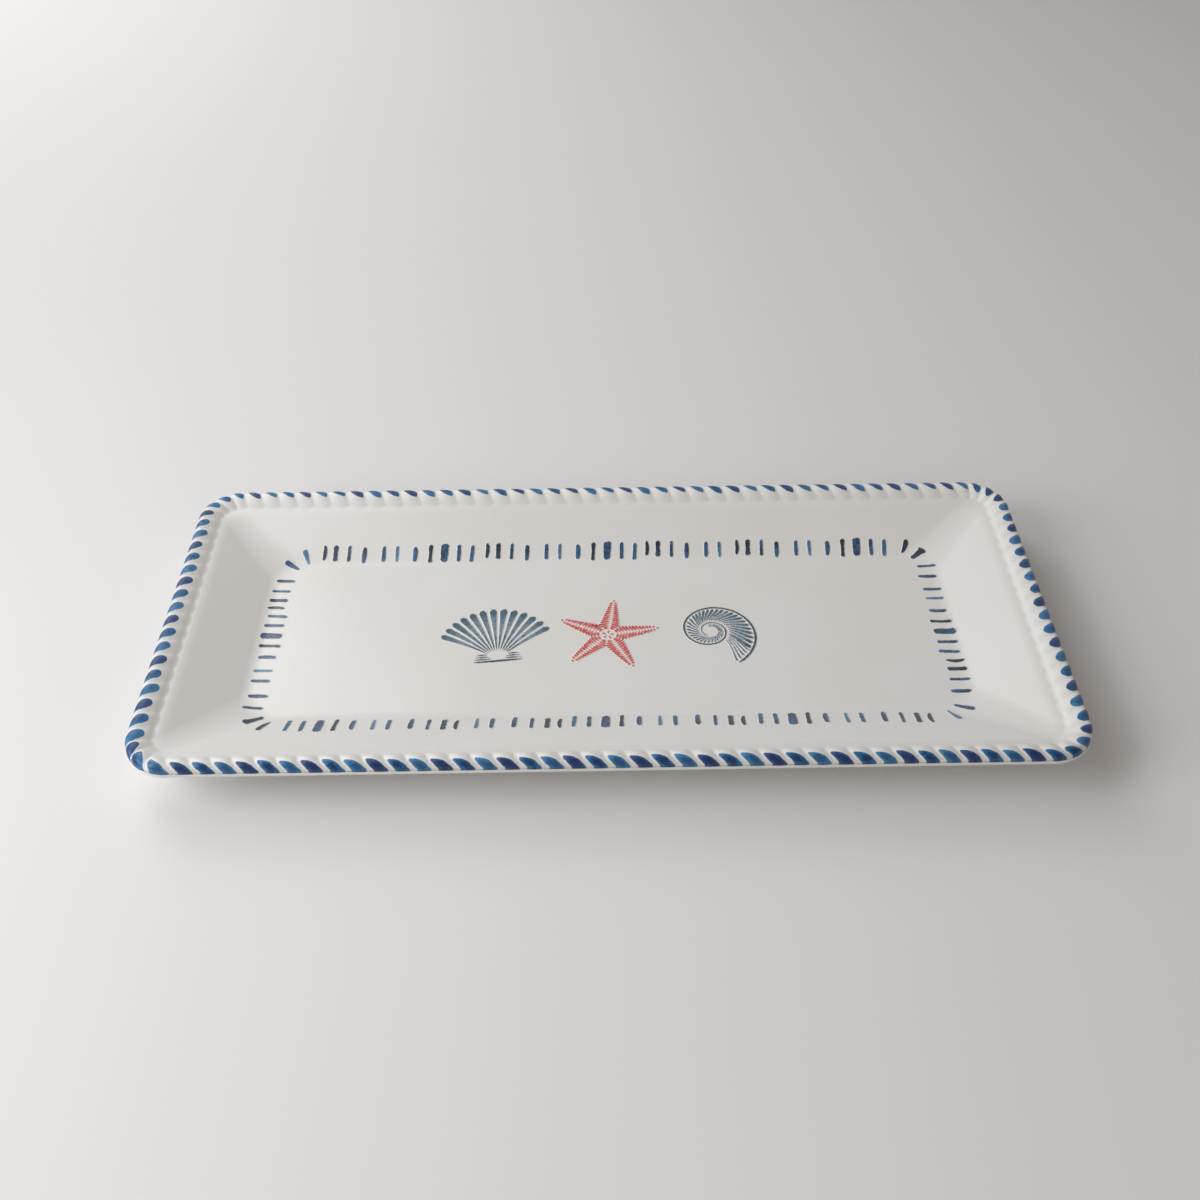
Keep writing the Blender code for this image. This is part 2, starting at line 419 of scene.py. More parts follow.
def underside():
    """Floor to land as (inset, z) points on the slab's lower face."""
    points = []
    for angle in steps(0, WALL_ANGLE, COVE_STEPS):
        radius = COVE_RADIUS + SLAB_THICKNESS
        z = FLOOR_Z + COVE_RADIUS - radius * math.cos(angle)
        points.append((FLOOR_INSET - radius * math.sin(angle), z))
    for angle in steps(WALL_ANGLE, 0, SHOULDER_STEPS):
        radius = SHOULDER_RADIUS - SLAB_THICKNESS
        z = LAND_Z - SHOULDER_RADIUS + radius * math.cos(angle)
        points.append((LAND_INSET + radius * math.sin(angle), z))
    return points


def rim_side():
    """Ledge that the coil lies on to the underside as (inset, z) points, round the lip."""
    points = [(GLAZE_TOP, SEAT_Z)]
    for angle in steps(0, math.pi / 2, ROUND_STEPS):
        inset = LIP_EDGE * (1 - math.sin(angle))
        points.append((inset, SEAT_Z - LIP_EDGE * (1 - math.cos(angle))))
    for angle in steps(0, math.pi / 2, ROUND_STEPS):
        z = LAND_Z - LIP_THICKNESS + LIP_ROUND * (1 - math.sin(angle))
        points.append((LIP_ROUND * (1 - math.cos(angle)), z))
    return points


def dish_section(out):
    """Middle of the floor, round the rim and back underneath, on the side that faces this way."""
    flat_inset = FLOOR_INSET + FLAT_MARGIN
    section = [(flat_inset, FLOOR_Z)] + glazed_side(out) + rim_side()
    return section + underside()[::-1] + [(flat_inset, BASE_Z)]


def make_dish(material):
    rings = []
    for level in zip(*(dish_section(out) for corner, out in corner_turns())):
        inset = level[0][0]
        rings.append([(x, y, z) for (x, y), (_, z) in zip(outline(inset), level)])
    shape = bmesh.new()
    add_loft(shape, rings, closed=False)
    return new_object("dish", shape, material)


def make_foot(material):
    """Ring with a rounded tread, let a little into the underside of the dish."""
    outer = FLOOR_INSET + FOOT_MARGIN
    inner = outer + FOOT_WIDTH
    top = BASE_Z + FOOT_SINK
    bevel = []
    for angle in steps(0, math.pi / 2, ROUND_STEPS):
        bevel.append((FOOT_BEVEL * (1 - math.cos(angle)), FOOT_BEVEL * (1 - math.sin(angle))))
    section = [(outer, top)] + [(outer + aside, z) for aside, z in bevel]
    section += [(inner - aside, z) for aside, z in reversed(bevel)] + [(inner, top)]
    rings = [[(x, y, z) for x, y in outline(inset)] for inset, z in section]
    shape = bmesh.new()
    add_loft(shape, rings, closed=True)
    return new_object("foot_tread", shape, material)


# Rope


def strand_slip(strand):
    """How far the hand-laid coil has strayed from even spacing at this strand, in spacings."""
    for (before, first), (after, last) in zip(STRAND_SLIPS, STRAND_SLIPS[1:]):
        if before <= strand <= after:
            return first + (last - first) * (strand - before) / (after - before)
    raise ValueError("no such strand")


def corner_slack(out):
    """One in the middle of the front left corner, round which the coil was laid slacker."""
    return 2 * min(0, out[0]) * min(0, out[1])


def groove_depth(across):
    """How far the coil's skin lies below a strand's crest, across that strand from 0 to 1."""
    return ROPE_GROOVE * (1 - math.sin(math.pi * (across % 1)))


def arch_point(turn):
    """Place on the coil's arch, as shares of its half width inwards and of its rise."""
    angle = math.pi * turn
    power = 2 / ROPE_FULLNESS
    side = math.copysign(abs(math.cos(angle)) ** power, math.cos(angle))
    height = abs(math.sin(angle)) ** power
    tilt = INNER_TILT if side > 0 else ROPE_TILT
    return side, height * (1 - tilt * side)


def groove_share(turn, out):
    """Share of a groove's depth that shows at this turn over the coil, on the side that faces
    this way: the glaze fills the inner half of the front most and that of the back least."""
    if turn > 0.5:
        return 1 + (OUTER_GROOVE - 1) * (2 * turn - 1) ** 2
    inner = INNER_GROOVE + BACK_GROOVE * out[1] + END_GROOVE * out[0] ** 2
    power = GROOVE_POWER + FRONT_POWER * facing_front(out)
    return inner + (1 - inner) * math.sin(math.pi * turn) ** power


def glaze_fill(turn, out):
    """How far the glaze has levelled the coil with the wall: on the front's inner flank only."""
    return FRONT_FILL * facing_front(out) * min(1, max(0, (0.5 - turn) / FILL_SPAN))


def coil_point(turn, groove, out):
    """Place on the coil's glazed skin at this turn over it, as inset and z."""
    side, height = arch_point(turn)
    depth = groove * groove_share(turn, out)
    half_width = ROPE_INNER if side > 0 else ROPE_WIDTH / 2
    inset = ROPE_INSET + (half_width - depth) * side
    z = LAND_Z + (ROPE_RISE - depth) * height
    z += (front_wall(inset) - z) * glaze_fill(turn, out)
    if inset > GLAZE_TOP - COIL_OVERLAP:
        z = max(z, glazed_wall(inset, out) + COIL_LIFT)
    return inset, z


def fillet(groove, out, top_inset, top_z):
    """Curve of glaze from the wall up to the coil's inner flank, as (inset, z) points. Its toe
    is scalloped, but not at the front."""
    toe = FILLET_TOE - TOE_SCALLOP * groove / ROPE_GROOVE * (1 - facing_front(out))
    bend = (toe + top_inset) / 2
    insets = (toe, bend, top_inset)
    heights = (glazed_wall(toe, out) - FILLET_SINK, glazed_wall(bend, out) - FILLET_SINK, top_z)
    points = []
    for share in steps(0, 1, FILLET_STEPS)[:-1]:
        weights = ((1 - share) ** 2, 2 * share * (1 - share), share**2)
        inset = sum(weight * value for weight, value in zip(weights, insets))
        points.append((inset, sum(weight * value for weight, value in zip(weights, heights))))
    return points


def rope_rib(rib):
    """Section of the coil that leans with its strand: from the wall up a fillet of glaze, then
    over the arch to the outer foot."""
    across = rib / RIBS_PER_STRAND
    groove = groove_depth(across)
    start = ROPE_SHIFT + (across - 0.5 + strand_slip(across)) * STRAND_SPACING
    lean = ROPE_LEAN * (1 - CORNER_SLACK * corner_slack(LIP.place(start)[1])) * STRAND_SPACING
    points = []
    for turn in steps(FILLET_TURN, 1, ARCH_STEPS):
        (x, y), out = LIP.place(start + lean * turn**ROPE_BEND)
        top = coil_point(turn, groove, out)
        section = [top] if points else fillet(groove, out, *top) + [top]
        points += [(x - inset * out[0], y - inset * out[1], z) for inset, z in section]
    points.insert(0, (*points[0][:2], SEAT_Z - ROPE_SINK))
    points.append((*points[-1][:2], SEAT_Z - ROPE_SINK))
    return points


def paint_reach(place, out):
    """Angle up from the outer foot, in half turns, that the brush reached on this side."""
    towards_right, towards_back = 2 * place[0] / LENGTH, 2 * place[1] / WIDTH
    degrees = REACH + END_REACH * out[0] ** 2 - LEFT_REACH * out[0] + BACK_REACH * out[1]
    degrees -= LEFT_FALL * max(0, -out[0]) * towards_back
    degrees += BACK_GAIN * max(0, out[1]) * (1 + towards_right)
    return degrees / 180


def paint_belly(out):
    """Width of a stroke on this side, in strand spacings."""
    belly = STROKE_BELLY + END_BELLY * out[0] ** 2 - LEFT_BELLY * out[0]
    return belly + SLACK_BELLY * corner_slack(out)


def paint_slant(out):
    """How far a stroke leans across its strand on this side, in strand spacings."""
    return FRONT_SLANT * facing_front(out) * (1 - corner_slack(out))


def paint_tip(out):
    """Where a stroke's tip lies across its width on this side, from 0 at the groove to 1."""
    return LEFT_TIP * max(0, -out[0]) + RIGHT_TIP * max(0, out[0])


def map_strands(shape, rows, uv):
    """Writes strand numbers and turns over the coil, from its outer foot, to its UV map."""
    place = {}
    for number, row in enumerate(rows):
        for i, vert in enumerate(row):
            place[vert] = (number, min(max(i - 1 - FILLET_STEPS, 0), ARCH_STEPS))
    for face in shape.faces:
        numbers = [place[loop.vert][0] for loop in face.loops]
        wraps = max(numbers) - min(numbers) > 1
        for loop in face.loops:
            number, i = place[loop.vert]
            if wraps and number == 0:
                number = len(rows)
            turn = (1 - FILLET_TURN) * (1 - i / ARCH_STEPS)
            loop[uv].uv = (number / RIBS_PER_STRAND, turn)


def make_rope(material):
    """Coil with what its paint needs to know: strands, turns and how strokes differ by side."""
    ribs = [rope_rib(rib) for rib in range(ROPE_STRANDS * RIBS_PER_STRAND)]
    shape = bmesh.new()
    uv = shape.loops.layers.uv.new("paint")
    layers = shape.verts.layers.float
    reach, belly, tip, slant = [layers.new(name) for name in ("reach", "belly", "tip", "slant")]
    rows = add_loft(shape, ribs, closed=True)
    map_strands(shape, rows, uv)
    for number, row in enumerate(rows):
        point, out = LIP.place(ROPE_SHIFT + (number / RIBS_PER_STRAND) * STRAND_SPACING)
        for vert in row:
            vert[reach] = paint_reach(point, out)
            vert[belly] = paint_belly(out)
            vert[tip] = paint_tip(out)
            vert[slant] = paint_slant(out)
    return new_object("rope", shape, material)


# Ink strokes on the dish


class Ink:
    """Gathers thin strokes that lie on the dish. Each point knows its way in from the stroke's
    edge, its darkness from 0 to 1 and whether it is red."""

    def __init__(self, dish):
        self.surface = BVHTree.FromObject(dish, bpy.context.evaluated_depsgraph_get())
        self.shape = bmesh.new()
        layers = self.shape.verts.layers.float
        self.edge, self.dark, self.red = [layers.new(name) for name in ("edge", "dark", "red")]

    def drape(self, place, across, side, lift):
        """Point of a stroke on the dish, this far aside from its middle line."""
        x, y = place[0] + across[0] * side, place[1] + across[1] * side
        hit = self.surface.ray_cast(Vector((x, y, ABOVE)), Vector((0, 0, -1)))[0]
        return self.shape.verts.new((x, y, hit.z + lift))

    def row(self, place, across, half_width, to_end, tones, red):
        """Points from the stroke's left border to its right one, and back underneath."""
        sides = (-half_width - INK_BORDER, -half_width, 0, half_width, half_width + INK_BORDER)
        row = []
        for side in sides:
            vert = self.drape(place, across, side, INK_LIFT)
            vert[self.edge] = min(half_width - abs(side), to_end)
            share = (side / (half_width + INK_BORDER) + 1) / 2
            vert[self.dark] = tones[0] + (tones[1] - tones[0]) * share
            vert[self.red] = red
            row.append(vert)
        return row + [self.drape(place, across, side, -INK_ROOT) for side in (sides[-1], sides[0])]

    def stroke(self, points, half_widths, tones, red=0.0):
        """Ribbon along the points. Tones are pairs: darkness at its left and right side."""
        ways = [Vector(b) - Vector(a) for a, b in zip(points, points[1:])]
        bends = [a.normalized() + b.normalized() for a, b in zip(ways, ways[1:])]
        ways = [way.normalized() for way in [ways[0]] + bends + [ways[-1]]]
        lengths = [0.0]
        for a, b in zip(points, points[1:]):
            lengths.append(lengths[-1] + (Vector(b) - Vector(a)).length)
        rows = []
        for point, way, half_width, tone, done in zip(points, ways, half_widths, tones, lengths):
            across = (way.y, -way.x)
            to_end = min(done, lengths[-1] - done)
            if done == 0:
                before = Vector(point) - way * INK_BORDER
                rows.append(self.row(before, across, half_width, -INK_BORDER, tone, red))
            rows.append(self.row(point, across, half_width, to_end, tone, red))
            if done == lengths[-1]:
                after = Vector(point) + way * INK_BORDER
                rows.append(self.row(after, across, half_width, -INK_BORDER, tone, red))
        self.close(rows)

    def close(self, rows):
        self.shape.faces.new(rows[0])
        self.shape.faces.new(reversed(rows[-1]))
        for row, after in zip(rows, rows[1:]):
            join_rows(self.shape, row, after)


def end_round(share, length, radius):
    """Share of its width that a stroke keeps near its rounded ends."""
    to_end = min(share, 1 - share) * length
    if to_end >= radius:
        return 1.0
    return END_WIDTH + (1 - END_WIDTH) * math.sqrt(1 - (1 - to_end / radius) ** 2)


# Dashes round the well


class Dash:
    """One kind of dash in millimetres: inner end, middle and outer end give its widths."""

    def __init__(self, step, length, widths, out=0.0, lean=0.0, bend=0.0, tones=(0.5, 0.5), shade=0.0):
        self.step = step  # to the next dash
        self.length = length
        self.widths = widths
        self.out = out  # outwards from the ring
        self.lean = lean  # of its outer end, clockwise
        self.bend = bend  # of its middle, clockwise
        self.tones = tones  # inner end, outer end
        self.shade = shade  # darker clockwise side


CRESCENT = Dash(4.8, 6.8, (0.9, 1.6, 0.9), out=0.7, lean=0.3, bend=0.5, tones=(0.8, 1.0))
TWIST = Dash(5.9, 7.2, (2.3, 1.8, 2.2), out=0.4, lean=0.2, tones=(0.65, 1.0), shade=0.15)
BLADE = Dash(6.6, 7.4, (1.5, 1.3, 1.4), out=0.2, lean=0.3, tones=(0.75, 0.5))
NOTCH = Dash(8.5, 7.4, (1.3, 1.85, 1.5), out=-0.7, lean=0.3, bend=0.1, tones=(0.4, 0.9), shade=0.2)
SLIP = Dash(5.8, 7.2, (1.6, 1.6, 1.4), out=-0.2, lean=0.2, tones=(0.5, 0.6))
PALE = Dash(7.8, 7.2, (1.1, 1.35, 1.4), out=-0.3, lean=0.1, tones=(0.15, 0.35))
HALF = Dash(6.7, 6.8, (1.4, 1.9, 1.4), out=-0.5, lean=0.2, bend=0.3, tones=(0.5, 0.6), shade=0.6)
BLACK = Dash(6.1, 8.4, (1.7, 1.4, 2.1), out=-0.5, lean=0.4, bend=0.1, tones=(0.95, 1.0))
WIDE = Dash(6.3, 8.4, (2.7, 3.1, 3.3), out=-0.1, lean=0.4, tones=(0.7, 0.6))
SPEAR = Dash(5.7, 7.8, (1.6, 1.55, 1.7), out=-0.3, lean=0.2, tones=(0.55, 0.65))
SLANT = Dash(6.6, 7.8, (1.7, 1.6, 1.5), out=-0.7, lean=0.6, tones=(0.45, 0.5))

LONG_MOTIF = (CRESCENT, TWIST, BLADE, NOTCH, SLIP, PALE, HALF, BLACK, WIDE, SPEAR, SLANT)
SHORT_MOTIF = LONG_MOTIF[:6]

# Motifs of half the ring, with the step in millimetres from each one's last dash to the next motif
BACK_MOTIFS = ((LONG_MOTIF, 6.6), (LONG_MOTIF, 5.3), (SHORT_MOTIF, 7.6), (LONG_MOTIF, 7.6))
SIDE_MOTIFS = ((LONG_MOTIF, 5.3), (SHORT_MOTIF, 7.6))


def dashes_in_row(motifs):
    """Each dash of a row with its step to the next one."""
    row = []
    for motif, last_step in motifs:
        row += [(dash, dash.step * MM) for dash in motif[:-1]]
        row.append((motif[-1], last_step * MM))
    return row


def half_ring_of_dashes():
    """Dashes from the back row's left end clockwise to the front row's right end, with the
    distance of each from the back row's middle. They stand closer on the short side."""
    back = dashes_in_row(BACK_MOTIFS)
    side = dashes_in_row(SIDE_MOTIFS)
    back_length = sum(step for dash, step in back)
    closer = (DASH_RING.around / 2 - back_length) / sum(step for dash, step in side)
    distance = DASH_START
    for dash, step in back + [(dash, step * closer) for dash, step in side]:
        yield dash, distance
        distance += step


def add_dash(ink, dash, distance, chance):
    (x, y), out = DASH_RING.place(DASH_RING.around / 2 - distance)
    x, y = x + DASH_CENTRE[0], y + DASH_CENTRE[1]
    clockwise = (out[1], -out[0])
    turned = abs(2 * out[0] * out[1])  # 1 in the middle of a corner
    length = dash.length * (1 + DASH_STRETCH * (1 - out[1]))
    points, half_widths, tones = [], [], []
    for share in steps(0, 1, DASH_STEPS):
        outwards = DASH_MIDDLE + (dash.out + (share - 0.5) * length) * MM
        sideways = dash.lean * (share - 0.5) + dash.bend * (4 * share * (1 - share) - 0.5)
        sideways = sideways * MM + chance.uniform(-DASH_WOBBLE, DASH_WOBBLE) * MM
        point_x = x + out[0] * outwards + clockwise[0] * sideways
        point_y = y + out[1] * outwards + clockwise[1] * sideways
        points.append((point_x, point_y))
        width = between(share, *dash.widths) * chance.uniform(*DASH_SPREAD)
        width *= 1 + turned * (DASH_SWELL + DASH_FLARE * (2 * share - 1))
        half_widths.append(width / 2 * end_round(share, length, width * DASH_ROUND) * MM)
        tone = dash.tones[0] + (dash.tones[1] - dash.tones[0]) * share
        tones.append((tone - dash.shade / 2, tone + dash.shade / 2))
    ink.stroke(points, half_widths, tones)


def make_dashes(dish, material):
    """Ring of dashes: the second half is the first one turned half round."""
    ink = Ink(dish)
    chance = random.Random(DASH_SEED)
    for half in range(2):
        for dash, distance in half_ring_of_dashes():
            add_dash(ink, dash, distance + half * (DASH_RING.around / 2 + DASH_LAG), chance)
    return new_object("border_dashes", ink.shape, material)


# Print in the middle


class Pen:
    """Draws lines with ink in a motif's own millimetres, from its centre and turned with it."""

    def __init__(self, ink, centre, angle, red=0.0):
        self.ink = ink
        self.centre = centre
        self.turn = (math.cos(angle), math.sin(angle))
        self.red = red

    def place(self, point):
        x = point[0] * self.turn[0] - point[1] * self.turn[1]
        y = point[0] * self.turn[1] + point[1] * self.turn[0]
        return self.centre[0] + x * MM, self.centre[1] + y * MM

    def line(self, points, widths, darks):
        """Line with three widths and three tones: at its start, middle and end."""
        shares = [i / (len(points) - 1) for i in range(len(points))]
        length = sum(math.dist(a, b) for a, b in zip(points, points[1:]))
        half_widths = []
        for share in shares:
            width = between(share, *widths)
            half_widths.append(width / 2 * end_round(share, length, width / 2) * MM)
        tones = [(between(share, *darks),) * 2 for share in shares]
        self.ink.stroke([self.place(point) for point in points], half_widths, tones, self.red)


def polar(radius, angle):
    return radius * math.cos(angle), radius * math.sin(angle)


def shifted(darks, tone):
    return [dark + tone for dark in darks]


def draw_scallop(pen, chance):
    """Fan shell: ribs that spread from the hinge, with an ear on each side of it."""
    hinge = -15.0
    half_fan = math.radians(52)
    ribs = 13
    gap = 2 * half_fan / ribs
    root, longest, shorter = 5.5, 30, 3.2  # ribs at the fan's sides are shorter
    curl = 0.12
    for rib in range(ribs):
        lean = (rib - (ribs - 1) / 2) * gap
        reach = longest - shorter * (lean / half_fan) ** 2
        points = []
        for share in steps(0, 1, 16):
            x, y = polar(root + (reach - root) * share, math.pi / 2 - lean * (1 + curl * share))
            points.append((x, y + hinge))
        darks = shifted((0.95, 0.30, 0.75), chance.uniform(-0.06, 0.06))
        pen.line(points, (0.45, 1.5, 0.80 * reach * gap), darks)
    for side in (-1, 1):
        draw_ear(pen, hinge, side)
    pen.line([(x, hinge - 1.0) for x in steps(-9.8, 9.8, 8)], (0.7, 1.1, 0.7), (0.7, 0.95, 0.7))


def draw_ear(pen, hinge, side):
    """Three short lines beside the scallop's hinge."""
    row_step, bow = 1.25, 0.15
    for row in range(3):
        start = (side * (2.6 + 0.9 * row), hinge + 0.4 + row_step * row)
        end = (side * (9.5 - 0.5 * row), hinge + 0.2 + row_step * row)
        middle = ((start[0] + end[0]) / 2, (start[1] + end[1]) / 2 + bow)
        pen.line((start, middle, end), (0.7, 0.85, 0.6), (0.9, 0.6, 0.7))


def draw_starfish(pen, chance):
    """Five arms of short slanting strokes on both sides of a bare middle line."""
    arms, rows = 5, 13
    first_row, row_step, arm_length = 3.6, 1.28, 21.5
    tip_width, arm_width, between_arms = 0.6, 4.7, 0.4
    for arm in range(arms):
        facing = math.pi / 2 + 2 * math.pi * arm / arms
        across, along = polar(1, facing - math.pi / 2), polar(1, facing)
        for row in range(rows):
            out = first_row + row_step * row
            broad = tip_width + arm_width * (1 - out / arm_length) ** 0.8
            broad = min(broad, out * math.tan(math.pi / arms) - between_arms)
            for side in (-1, 1):
                points = arm_stroke(across, along, out, side, broad)
                darks = shifted((0.35, 0.5, 0.75), chance.uniform(-0.12, 0.12))
                pen.line(points, (0.65, 1.1, 0.95), darks)
        tip = [polar(forwards, facing) for forwards in (20.2, 20.8, 21.4)]
        pen.line(tip, (1.2, 1.1, 0.7), (0.5, 0.5, 0.5))
        heart = [polar(forwards, facing) for forwards in (0.9, 1.7, 2.5)]
        pen.line(heart, (0.5, 0.95, 1.1), (0.6, 0.5, 0.4))


def arm_stroke(across, along, out, side, broad):
    """Points from beside the middle line of a starfish's arm back to that arm's edge."""
    half_bare, ahead, sweep = 0.28, 0.5, 1.3
    points = []
    for share in steps(half_bare / broad, 1, 4):
        sideways = side * broad * share
        forwards = out + ahead - sweep * share**1.5 * broad / 4
        points.append(tuple(sideways * a + forwards * b for a, b in zip(across, along)))
    return points


def draw_spiral_shell(pen, chance):
    """Coiled shell: swept bands across each whorl, inside an outline that winds inwards."""
    mouth = math.radians(-62)
    size, shrink = 21.5, math.log(2.9) / (2 * math.pi)
    sweep, lip_end = 0.34, 0.4  # bands stand closer before the lip's end

    def wall(turn):
        return size * math.exp(-shrink * turn)

    spiral = [polar(wall(turn), mouth + turn) for turn in steps(0, 3.7 * math.pi, 110)]
    pen.line(spiral, (1.0, 0.75, 0.4), (0.85, 0.8, 0.9))
    turn = 0.0
    while turn < 2.9 * math.pi:
        gap, fill = (0.155, 0.62) if turn > lip_end else (0.10, 0.35)
        outer, inner = wall(turn) - 0.95, wall(turn + 2 * math.pi) + 0.85
        points = []
        for share in steps(0, 1, 10):
            radius = inner + (outer - inner) * share
            points.append(polar(radius, mouth + turn + sweep * (1 - share) ** 1.6))
        broad = gap * outer * fill
        darks = shifted((0.55, 0.35, 0.85), chance.uniform(-0.1, 0.1))
        pen.line(points, (0.35, broad * 0.75, broad), darks)
        turn += gap * (1.0 if turn < math.pi else 1.35)


def make_print(dish, material):
    """Row of three sea motifs on the floor of the well."""
    ink = Ink(dish)
    chance = random.Random(PRINT_SEED)
    draw_scallop(Pen(ink, *SCALLOP_AT), chance)
    draw_starfish(Pen(ink, *STARFISH_AT, red=1.0), chance)
    draw_spiral_shell(Pen(ink, *SHELL_AT), chance)
    return new_object("sea_print", ink.shape, material)


# Materials


class Nodes:
    """Short calls that add nodes to a material or world, most of which return an output."""

    def __init__(self, owner, shader):
        self.owner = owner
        owner.use_nodes = True
        self.tree = owner.node_tree
        self.shader = self.tree.nodes[shader]

    def put(self, socket, value):
        if isinstance(value, bpy.types.NodeSocket):
            self.tree.links.new(value, socket)
        elif isinstance(value, tuple) and len(socket.default_value) == 4:
            socket.default_value = (*value, 1)
        else:
            socket.default_value = value

    def set(self, name, value):
        self.put(self.shader.inputs[name], value)

    def node(self, kind, **inputs):
        node = self.tree.nodes.new("ShaderNode" + kind)
        for name, value in inputs.items():
            self.put(node.inputs[name], value)
        return node

    def math(self, operation, *values):
        node = self.node("Math")
        node.operation = operation
        for socket, value in zip(node.inputs, values):
            self.put(socket, value)
        return node.outputs[0]

    def add(self, first, second):
        return self.math("ADD", first, second)

    def subtract(self, first, second):
        return self.math("SUBTRACT", first, second)

    def multiply(self, first, second):
        return self.math("MULTIPLY", first, second)

    def power(self, value, exponent):
        return self.math("POWER", value, exponent)

    def distance(self, first, second):
        """Distance from zero of a place with these two coordinates."""
        squares = [self.power(self.math("ABSOLUTE", value), 2.0) for value in (first, second)]
        return self.power(self.add(*squares), 0.5)

    def ramp(self, value, low, high, first=0.0, last=1.0, smooth=True):
        """Value carried from low..high to first..last, and held there outside it."""
        node = self.node("MapRange")
        node.interpolation_type = "SMOOTHSTEP" if smooth else "LINEAR"
        for socket, number in zip(node.inputs, (value, low, high, first, last)):
            self.put(socket, number)
        return node.outputs[0]

    def mix(self, factor, first, second):
        node = self.node("Mix")
        node.data_type = "RGBA"
        self.put(node.inputs["Factor"], factor)
        self.put(node.inputs[6], first)
        self.put(node.inputs[7], second)
        return node.outputs[2]

    def noise(self, vector, scale, detail=2.0):
        return self.node("TexNoise", Vector=vector, Scale=scale, Detail=detail).outputs["Fac"]

    def chance(self, number):
        """Random value from 0 to 1 that belongs to this number."""
        node = self.node("TexWhiteNoise")
        node.noise_dimensions = "1D"
        self.put(node.inputs["W"], number)
        return node.outputs["Value"]

    def position(self):
        return self.node("TexCoord").outputs["Object"]

    def split(self, vector):
        return self.node("SeparateXYZ", Vector=vector).outputs

    def uv(self, name):
        node = self.node("UVMap")
        node.uv_map = name
        return self.split(node.outputs[0])[:2]

    def attribute(self, name):
        node = self.node("Attribute")
        node.attribute_name = name
        return node.outputs["Fac"]

    def tones(self, value, stops):
        """Colour along a row of (value, colour) stops."""
        node = self.node("ValToRGB")
        elements = node.color_ramp.elements
        while len(elements) < len(stops):
            elements.new(0.5)
        for element, (where, colour) in zip(elements, stops):
            element.position = where
            element.color = (*colour, 1)
        self.put(node.inputs[0], value)
        return node.outputs[0]

    def bump(self, height, strength, distance):
        node = self.node("Bump", Height=height, Strength=strength, Distance=distance)
        self.set("Normal", node.outputs[0])


def material_nodes(name):
    return Nodes(bpy.data.materials.new(name), "Principled BSDF")


def glaze_white(nodes, place):
    """White of the glaze, a little uneven where it ran thinner or thicker."""
    cloud = nodes.ramp(nodes.noise(place, scale=22, detail=3.0), 0.3, 0.7)
    thin = tuple(c * s for c, s in zip(GLAZE_WHITE, THIN_GLAZE))
    return nodes.mix(cloud, thin, GLAZE_WHITE)


def glaze_gloss(nodes, place, roughness):
    """Gloss and the faint waves of a dipped glaze."""
    nodes.set("Roughness", nodes.ramp(nodes.noise(place, scale=60), 0.3, 0.7, *roughness))
    ripples = nodes.multiply(nodes.noise(place, scale=240), 0.12)
    waves = nodes.add(nodes.noise(place, scale=35), ripples)
    nodes.bump(waves, strength=0.25, distance=0.4 * MM)


def dish_glaze():
    nodes = material_nodes("white_glaze")
    place = nodes.position()
    nodes.set("Base Color", glaze_white(nodes, place))
    glaze_gloss(nodes, place, GLAZE_ROUGHNESS)
    return nodes.owner


def stroke_mask(nodes, across, rise, place):
    """One where the brush left colour: a leaf that follows the strand's groove on one side,
    bellies out on the other and closes at its tip."""
    wobble = nodes.multiply(nodes.subtract(nodes.noise(place, scale=420), 0.5), STROKE_WOBBLE)
    open_share = nodes.math("MAXIMUM", nodes.subtract(1.0, nodes.power(rise, TIP_POWER)), 0.0)
    closing = nodes.power(open_share, 0.5)
    belly = nodes.attribute("belly")
    lost = nodes.multiply(belly, nodes.subtract(1.0, closing))
    lost_to_groove = nodes.multiply(lost, nodes.attribute("tip"))
    drawn = nodes.multiply(nodes.power(rise, DRAW_POWER), TIP_DRAW)
    groove_side = nodes.add(nodes.add(STROKE_START, drawn), lost_to_groove)
    belly_side = nodes.add(nodes.multiply(belly, closing), STROKE_START)
    belly_side = nodes.add(belly_side, lost_to_groove)
    from_groove = nodes.subtract(across, groove_side)
    from_belly = nodes.subtract(belly_side, across)
    inside = nodes.math("MINIMUM", from_groove, from_belly)
    return nodes.ramp(nodes.add(inside, wobble), *STROKE_EDGE)


def stroke_wash(nodes, across, rise, place):
    """How thin the colour lies: thick in the stroke's middle, thin towards its edges and tip."""
    aside = nodes.math("DIVIDE", nodes.subtract(across, STROKE_CORE[0]), CORE_SIZE[0])
    above = nodes.math("DIVIDE", nodes.subtract(rise, STROKE_CORE[1]), CORE_SIZE[1])
    cloud = nodes.ramp(nodes.noise(place, scale=330, detail=3.0), 0.3, 0.75, -0.15, 0.25)
    grain = nodes.ramp(nodes.noise(place, scale=1100), 0.3, 0.7, -0.16, 0.16)
    off_core = nodes.add(nodes.distance(aside, above), cloud)
    return nodes.ramp(nodes.add(off_core, grain), *WASH_EDGE)


def ply_number(nodes, strand):
    """Which of the plies a strand was painted as. The count slips at some corners."""
    turns = nodes.add(strand, FIRST_PLY)
    for corner in PLY_SLIPS:
        past = nodes.math("GREATER_THAN", strand, corner - 0.5)
        turns = nodes.add(turns, nodes.multiply(past, float(ROPE_PLIES - 1)))
    return nodes.math("MODULO", turns, float(ROPE_PLIES))


def ply_colour(nodes, ply, colours):
    """This ply's own colour out of one for each ply."""
    colour = colours[0]
    for number in range(1, ROPE_PLIES):
        reached = nodes.math("GREATER_THAN", ply, number - 0.5)
        colour = nodes.mix(reached, colour, colours[number])
    return colour


